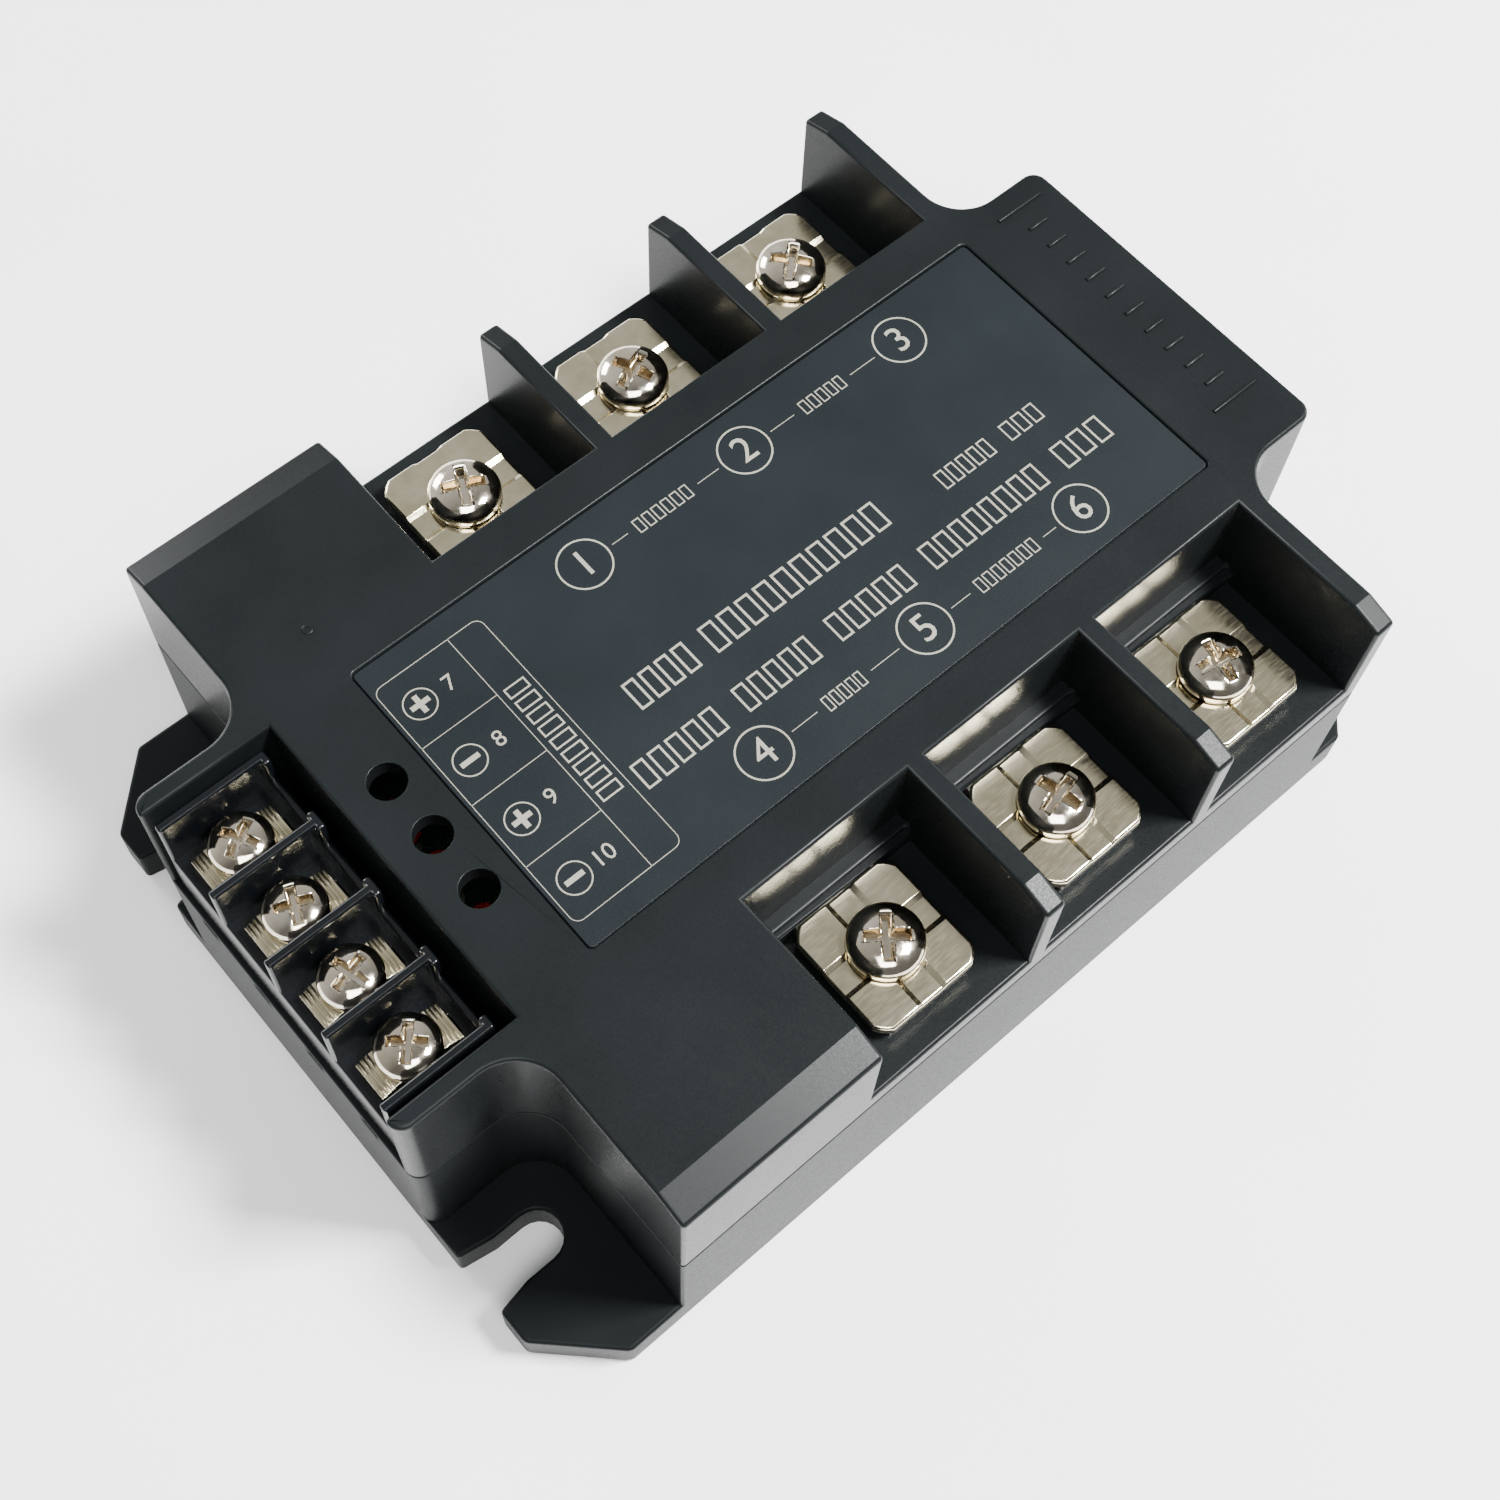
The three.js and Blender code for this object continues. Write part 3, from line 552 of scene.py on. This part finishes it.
def shapeControlClamp():
    low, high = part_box("control_clamp_1")
    size = high - low
    spare = mm
    width, depth = controlClamp["groove"]
    piece = addBlock("control_clamp_shape", size)
    tools = []
    for side in (-1, 1):
        for edge in (-1, 1):
            # cuts the corner away beside a tab
            start, inner = controlClamp["middle"], controlClamp["tab"] / 2
            reach, across = size.x / 2 - start + spare, size.y / 2 - inner + spare
            tools.append(addBlock("corner_tool", (reach, across, 4 * size.z),
                                  (side * (start + reach / 2), edge * (inner + across / 2), 0)))
        for start, drop in controlClamp["steps"]:
            reach = size.x / 2 - start + spare
            tools.append(addBlock("step_tool", (reach, size.y + spare, drop + spare),
                                  (side * (start + reach / 2), 0, size.z / 2 + (spare - drop) / 2)))
            tools.append(addBlock("groove_tool", (width, size.y + spare, depth + spare),
                                  (side * start, 0, size.z / 2 - drop + (spare - depth) / 2)))
    carve(piece, *tools)
    deselectAll()
    bpy.ops.mesh.primitive_cylinder_add(vertices=controlClamp["holeSteps"],
                                        radius=controlClamp["hole"] / 2, depth=4 * size.z)
    carve(piece, named("clamp_hole"))
    roundEdges(piece, controlClamp["break"], sharp=controlClamp["breakOver"])
    smooth(piece, controlClamp["sharpOver"])
    dress(piece, clampNickel)
    return piece


def makeControlTerminals():
    clampShape = shapeControlClamp()
    screwShape = shapeScrew("control_screw_shape", "control_screw_1", controlScrew)
    for number in range(1, 5):
        place = middleOf(f"control_clamp_{number}")
        clamp = copyTo(clampShape, f"wire_clamp_{number}", place)
        carry(clamp, f"control_clamp_{number}", "nickel", f"control_clamp_{number}")
        screw = copyTo(screwShape, f"wire_screw_{number}", (place.x, place.y, 0),
                       controlScrew["turns"][number - 1])
        carry(screw, f"control_screw_{number}", "screw_steel", f"control_screw_{number}")
        contact = mergedCopy(f"control_contact_{number}", f"contact_strip_{number}")
        roundEdges(contact, controlClamp["break"])
        smooth(contact)
        dress(contact, clampNickel)
        carry(contact, "relay", "nickel", f"control_contact_{number}")
    discard(clampShape, screwShape)


makeControlTerminals()
print("control terminals made")


# indicator lights: a domed lens on a flange, deep in each hole

lens = {"radius": 1.5 * mm, "body": 5.2 * mm, "flange": 0.6 * mm, "shoulder": 0.05 * mm,
        "steps": 40, "domeSteps": 8, "domeEnd": 86, "lead": 0.5 * mm, "leadPitch": 2.54 * mm,
        "leadEnd": 0.4 * mm, "leadEdge": 0.06 * mm}


def makeLights():
    for number in range(1, 4):
        node = f"indicator_light_{number}"
        low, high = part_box(node)
        place = (low + high) / 2
        flangeRadius = (high.y - low.y) / 2
        radius = lens["radius"]
        bottom = high.z - lens["body"]
        profile = [(flangeRadius, bottom), (flangeRadius, bottom + lens["flange"]),
                   (radius, bottom + lens["flange"] + lens["shoulder"])]
        for step in range(lens["domeSteps"] + 1):
            angle = step / lens["domeSteps"] * math.radians(lens["domeEnd"])
            profile.append((radius * math.cos(angle), high.z - radius + radius * math.sin(angle)))
        piece = addTurned(f"light_lens_{number}", profile, lens["steps"])
        piece.data.transform(Matrix.Translation((place.x, place.y, 0)))
        smooth(piece)
        dress(piece, lensRed)
        carry(piece, "relay", "lens", node)
        for side in (-1, 1):
            size = (lens["lead"], lens["lead"], bottom - low.z + lens["leadEnd"])
            lead = addBlock(f"light_lead_{number}_{'a' if side < 0 else 'b'}", size,
                            (place.x + side * lens["leadPitch"] / 2, place.y, low.z + size[2] / 2))
            roundEdges(lead, lens["leadEdge"])
            smooth(lead)
            dress(lead, screwNickel)
            carry(lead, "relay", "screw_steel")


makeLights()
print("lights made")


# print on the label: thin ink, all in one piece

ink = {"height": 0.02 * mm, "line": 0.07 * mm, "strokeShare": 0.075, "pitchShare": 0.68,
       "boxShare": 0.74}
inkPieces = []

# circled numerals with a line and a word's place between them; each word has its start and end
terminalRows = {"x": (-9.3 * mm, 9.3 * mm, 28.4 * mm), "y": 12.0 * mm, "ring": 2.6 * mm,
                "stroke": 0.17 * mm, "numeral": 3.9 * mm, "ringGap": 0.5 * mm,
                "wordGap": 0.8 * mm, "wordTall": 1.5 * mm,
                "farWords": ((-3.6 * mm, 2.9 * mm), (16.1 * mm, 21.4 * mm)),
                "nearWords": ((-2.5 * mm, 2.1 * mm), (15.5 * mm, 22.9 * mm))}
# the control terminals' table: a column of signs and numerals beside an upright word's place
cells = {"x": (-31.1 * mm, -23.1 * mm, -19.7 * mm),
         "y": (13.8 * mm, 6.8 * mm, 0, -7.2 * mm, -13.8 * mm), "corner": 0.9 * mm,
         "marks": ((True, "7"), (False, "8"), (True, "9"), (False, "10")),
         "signX": 2.5 * mm, "ring": 1.55 * mm, "stroke": 0.13 * mm, "ringSteps": 36,
         "sign": 1.9 * mm, "signWidth": 0.5 * mm, "numeralX": 5.6 * mm, "numeral": 2.2 * mm,
         "wordTall": 2.2 * mm, "wordStart": -7.0 * mm, "wordLength": 14.0 * mm}
# lines of words: start, height of the line's middle, size, lengths of the words and gap
wordLines = (
    (-14.8 * mm, -0.8 * mm, 3.0 * mm, (7.2 * mm, 20.9 * mm), 1.3 * mm),
    (-19.1 * mm, -7.0 * mm, 2.7 * mm,
     (9.4 * mm, 8.8 * mm, 9.4 * mm, 14.6 * mm, 6.4 * mm), 1.8 * mm),
    (20.4 * mm, -1.9 * mm, 2.0 * mm, (6.6 * mm, 4.6 * mm), 1.5 * mm),
)


def inkBar(x, y, length, width):
    bpy.ops.mesh.primitive_plane_add(size=1, location=(x, y, 0))
    piece = named("ink_bar")
    piece.scale = (length, width, 1)
    settle(piece)
    inkPieces.append(piece)
    return piece


def inkRing(x, y, radius, stroke, steps=48):
    bpy.ops.mesh.primitive_circle_add(vertices=steps, radius=radius, fill_type="NGON",
                                      location=(x, y, 0))
    piece = named("ink_ring")
    settle(piece)
    pick(piece, "FACE", lambda centre, normal: True)
    bpy.ops.mesh.inset(thickness=stroke)
    bpy.ops.mesh.delete(type="FACE")
    deselectAll()
    inkPieces.append(piece)


def inkNumeral(text, x, y, size):
    deselectAll()
    bpy.ops.object.text_add(location=(0, 0, 0))
    piece = bpy.context.active_object
    piece.data.body = text
    piece.data.size = size
    piece.data.align_x = "CENTER"
    piece.data.align_y = "CENTER"
    piece.data.resolution_u = 3
    bpy.ops.object.convert(target="MESH")
    piece = named("ink_numeral")
    piece.data.transform(Matrix.Translation((x, y, 0)))
    inkPieces.append(piece)


def inkFrame(x0, x1, y0, y1, corner, stroke):
    piece = inkBar((x0 + x1) / 2, (y0 + y1) / 2, x1 - x0, y1 - y0)
    pick(piece, "VERT", lambda at: True)
    bpy.ops.mesh.bevel(offset=corner, segments=6, affect="VERTICES")
    pick(piece, "FACE", lambda centre, normal: True)
    bpy.ops.mesh.inset(thickness=stroke)
    bpy.ops.mesh.delete(type="FACE")
    deselectAll()


def inkWords(x0, y, tall, lengths, gap, upright=False):
    # where the real one has words: plain rows of hollow boxes, one for each character's place
    start = x0
    for length in lengths:
        count = max(2, round(length / (ink["pitchShare"] * tall)))
        pitch = length / count
        width = pitch * ink["boxShare"]
        for place in range(count):
            along = start + pitch * (place + 0.5)
            box = inkBar(y, -along, tall, width) if upright else inkBar(along, y, width, tall)
            pick(box, "FACE", lambda centre, normal: True)
            bpy.ops.mesh.inset(thickness=ink["strokeShare"] * tall)
            bpy.ops.mesh.delete(type="FACE")
            deselectAll()
        start += length + gap


def printTerminalRow(y, numbers, words):
    row = terminalRows
    for x, number in zip(row["x"], numbers):
        inkRing(x, y, row["ring"], row["stroke"])
        inkNumeral(number, x, y, row["numeral"])
    edge, gap = row["ring"] + row["ringGap"], row["wordGap"]
    for first, last, (start, end) in zip(row["x"][:-1], row["x"][1:], words):
        for x0, x1 in ((first + edge, start - gap), (end + gap, last - edge)):
            inkBar((x0 + x1) / 2, y, x1 - x0, ink["line"])
        inkWords(start, y, row["wordTall"], [end - start], 0)


def printCells():
    left, inner, right = cells["x"]
    top, *lines, bottom = cells["y"]
    inkFrame(left, right, bottom, top, cells["corner"], ink["line"])
    inkBar(inner, (top + bottom) / 2, ink["line"], top - bottom)
    for y in lines:
        inkBar((left + inner) / 2, y, inner - left, ink["line"])
    sign, width = cells["sign"], cells["signWidth"]
    for (upper, lower), (positive, number) in zip(zip(cells["y"], cells["y"][1:]), cells["marks"]):
        x, y = left + cells["signX"], (upper + lower) / 2
        inkRing(x, y, cells["ring"], cells["stroke"], cells["ringSteps"])
        inkBar(x, y, sign, width)
        if positive:
            for side in (1, -1):
                inkBar(x, y + side * (sign + width) / 4, width, (sign - width) / 2)
        inkNumeral(number, left + cells["numeralX"], y, cells["numeral"])
    inkWords(cells["wordStart"], (inner + right) / 2, cells["wordTall"], [cells["wordLength"]], 0,
             upright=True)


def makePrint():
    printTerminalRow(terminalRows["y"], "123", terminalRows["farWords"])
    printTerminalRow(-terminalRows["y"], "456", terminalRows["nearWords"])
    printCells()
    for line in wordLines:
        inkWords(*line)
    deselectAll()
    for piece in inkPieces:
        piece.select_set(True)
    bpy.context.view_layer.objects.active = inkPieces[0]
    bpy.ops.object.join()
    piece = named("label_print")
    piece.data.transform(Matrix.Translation((0, 0, labelBox[1].z)))
    pick(piece, "FACE", lambda centre, normal: normal.z < 0)
    bpy.ops.mesh.flip_normals()
    finishWith(piece, "SOLIDIFY", thickness=ink["height"], offset=1)
    dress(piece, printInk)
    carry(piece, "relay", "print")


makePrint()
print("label printed")


# plain ribs and a gate mark on top of the cover

ribs = {"count": 12, "first": 16.0 * mm, "last": -12.6 * mm, "x": 47.9 * mm, "length": 2.4 * mm,
        "width": 0.5 * mm, "height": 0.22 * mm, "sunk": 0.3 * mm, "endLength": 5.6 * mm,
        "edge": 0.22 * mm, "segments": 3}
# the profile is a share of the radius and of the height for each ring, from the foot to the dimple
gateMark = {"x": -31.7 * mm, "y": 22.2 * mm, "radius": 0.5 * mm, "height": 0.12 * mm, "steps": 24,
            "profile": ((1, -1), (1, 0.6), (0.8, 1), (0.5, 1), (0.4, 0.4))}


def makeRibs():
    top = coverHigh.z
    for number in range(ribs["count"]):
        share = number / (ribs["count"] - 1)
        y = ribs["first"] + share * (ribs["last"] - ribs["first"])
        length = ribs["endLength"] if number in (0, ribs["count"] - 1) else ribs["length"]
        tall = ribs["height"] + ribs["sunk"]
        piece = addBlock(f"cover_rib_{number + 1}", (length, ribs["width"], tall),
                         (ribs["x"], y, top + ribs["height"] - tall / 2))
        pick(piece, "EDGE", lambda a, b: a.z > top and b.z > top)
        bpy.ops.mesh.bevel(offset=ribs["edge"], segments=ribs["segments"], affect="EDGES")
        smooth(piece)
        dress(piece, housingPlastic)
        carry(piece, "relay", "housing")


def makeGateMark():
    profile = [(gateMark["radius"] * out, coverHigh.z + gateMark["height"] * up)
               for out, up in gateMark["profile"]]
    piece = addTurned("gate_mark", profile, gateMark["steps"])
    piece.data.transform(Matrix.Translation((gateMark["x"], gateMark["y"], 0)))
    smooth(piece)
    dress(piece, housingPlastic)
    carry(piece, "relay", "housing")


makeRibs()
makeGateMark()
print("ribs made")


# the rest keeps the nodes' own shape under a finer finish

nodeFinishes = {
    "ceramic_substrate": fireCeramic,
    "control_board": boardMask, "through_bar": barCopper, "power_bar": barCopper,
    "terminal_nut": screwNickel, "thyristor_pair": siliconCopper, "optocoupler": blackResin,
    "snubber_capacitor": filmCase,
}
for name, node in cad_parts.items():
    kind = name.rstrip("0123456789").rstrip("_")
    if kind in nodeFinishes and node.material_slots:
        for place in node.material_slots:
            place.material = nodeFinishes[kind]


# stage: a pale floor, soft light from the right, and the camera

stage = {"floor": 3.0, "floorDrop": 0.05 * mm, "floorDark": (0.84, 0.84, 0.84),
         "floorLight": (0.87, 0.87, 0.87), "floorPattern": 30, "floorRoughness": 0.8,
         "sky": (0.18, 0.85), "skyReach": (-0.2, 0.8), "target": (0, 0, 20 * mm)}


def makeFloor():
    bpy.ops.mesh.primitive_plane_add(size=stage["floor"], location=(0, 0, -stage["floorDrop"]))
    floor = named("floor")
    settle(floor)
    material, tree, shader = newMaterial("paleFloor")
    pattern = addNoise(tree, stage["floorPattern"], 2)
    tree.links.new(blendColours(tree, pattern, stage["floorDark"], stage["floorLight"]),
                   shader.inputs["Base Color"])
    shader.inputs["Roughness"].default_value = stage["floorRoughness"]
    dress(floor, material)


lights = {
    "key": {"place": (0.28, -0.27, 0.66), "size": 0.17, "power": 24.0},
    "side": {"place": (0.62, -0.16, 0.24), "size": 0.20, "power": 3.0},
    "top": {"place": (-0.25, -0.38, 0.85), "size": 0.45, "power": 9.0},
    "back": {"place": (-0.08, 0.60, 0.26), "size": 0.24, "power": 4.0},
}


def makeLight(name, place, size, power):
    lamp = bpy.data.lights.new(name, "AREA")
    lamp.energy = power
    lamp.size = size
    light = bpy.data.objects.new(name, lamp)
    bpy.context.scene.collection.objects.link(light)
    light.location = place
    aim = Vector(stage["target"]) - Vector(place)
    light.rotation_euler = aim.to_track_quat("-Z", "Y").to_euler()


def makeSky():
    # brighter towards +Y, so that metal shows light and shade
    world = bpy.data.worlds.new("paleSky")
    world.use_nodes = True
    bpy.context.scene.world = world
    tree = world.node_tree
    sky = tree.nodes["Background"]
    sky.inputs["Color"].default_value = (1.0, 1.0, 1.0, 1)
    place = tree.nodes.new("ShaderNodeTexCoord")
    parts = tree.nodes.new("ShaderNodeSeparateXYZ")
    tree.links.new(place.outputs["Generated"], parts.inputs["Vector"])
    tree.links.new(spread(tree, parts.outputs["Y"], *stage["sky"], *stage["skyReach"]),
                   sky.inputs["Strength"])


camera = {"place": (-66.977 * mm, -68.572 * mm, 204.187 * mm), "azimuth": -44.18,
          "elevation": 62.37, "roll": 3.657, "lens": 53.5, "sensor": 36, "nearest": 5 * mm,
          "shiftX": 0.00205, "shiftY": -0.0558}


def makeCamera():
    eye = bpy.data.cameras.new("camera")
    eye.lens = camera["lens"]
    eye.sensor_width = camera["sensor"]
    eye.shift_x = camera["shiftX"]
    eye.shift_y = camera["shiftY"]
    eye.clip_start = camera["nearest"]
    holder = bpy.data.objects.new("camera", eye)
    bpy.context.scene.collection.objects.link(holder)
    turn, rise = math.radians(camera["azimuth"]), math.radians(camera["elevation"])
    back = Vector((math.sin(turn) * math.cos(rise), -math.cos(turn) * math.cos(rise),
                   math.sin(rise)))
    level = (-back).to_track_quat("-Z", "Y").to_matrix()
    tilt = Matrix.Rotation(math.radians(camera["roll"]), 3, "Z")
    holder.matrix_world = Matrix.Translation(camera["place"]) @ (level @ tilt).to_4x4()
    bpy.context.scene.camera = holder


makeFloor()
for name, values in lights.items():
    makeLight(name, **values)
makeSky()
makeCamera()
